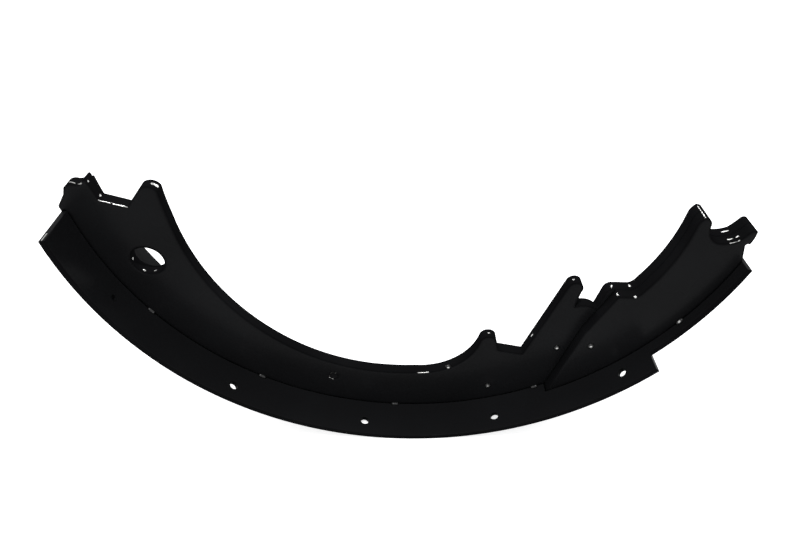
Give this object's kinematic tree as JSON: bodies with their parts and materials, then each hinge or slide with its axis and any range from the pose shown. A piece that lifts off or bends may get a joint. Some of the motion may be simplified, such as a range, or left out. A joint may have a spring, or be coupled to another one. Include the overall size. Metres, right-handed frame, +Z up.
{
  "type": "brake shoe",
  "caption": "Unlined steel drum brake shoe of T section, painted black: curved table with rivet holes, crescent web with hooked cut-outs and a notched toe, doubled plate at the forked anchor end",
  "frame": {"origin": "On the brake drum's axis, at the middle of the table's width; the table's outer face is an arc about this point", "axes": "+Y along the drum's axis, away from the side that carries the doubler; +Z up, so that the shoe rests on its convex table; +X towards the forked anchor end"},
  "size_m": [0.263, 0.0446, 0.1326],
  "materials": {
    "painted_plate": "smooth gloss black paint over pressed steel plate",
    "painted_weld": "gloss black paint over weld metal"
  },
  "bodies": {
    "root": {"table": "painted_plate", "web": "painted_plate", "doubler": "painted_plate", "weld_near_1": "painted_weld", "weld_near_2": "painted_weld", "weld_near_3": "painted_weld", "weld_near_4": "painted_weld", "weld_near_5": "painted_weld", "weld_far_1": "painted_weld", "weld_far_2": "painted_weld", "weld_far_3": "painted_weld", "weld_far_4": "painted_weld", "weld_far_5": "painted_weld", "dome_1": "painted_weld", "dome_2": "painted_weld", "dome_3": "painted_weld", "dome_4": "painted_weld"}
  },
  "joints": []
}
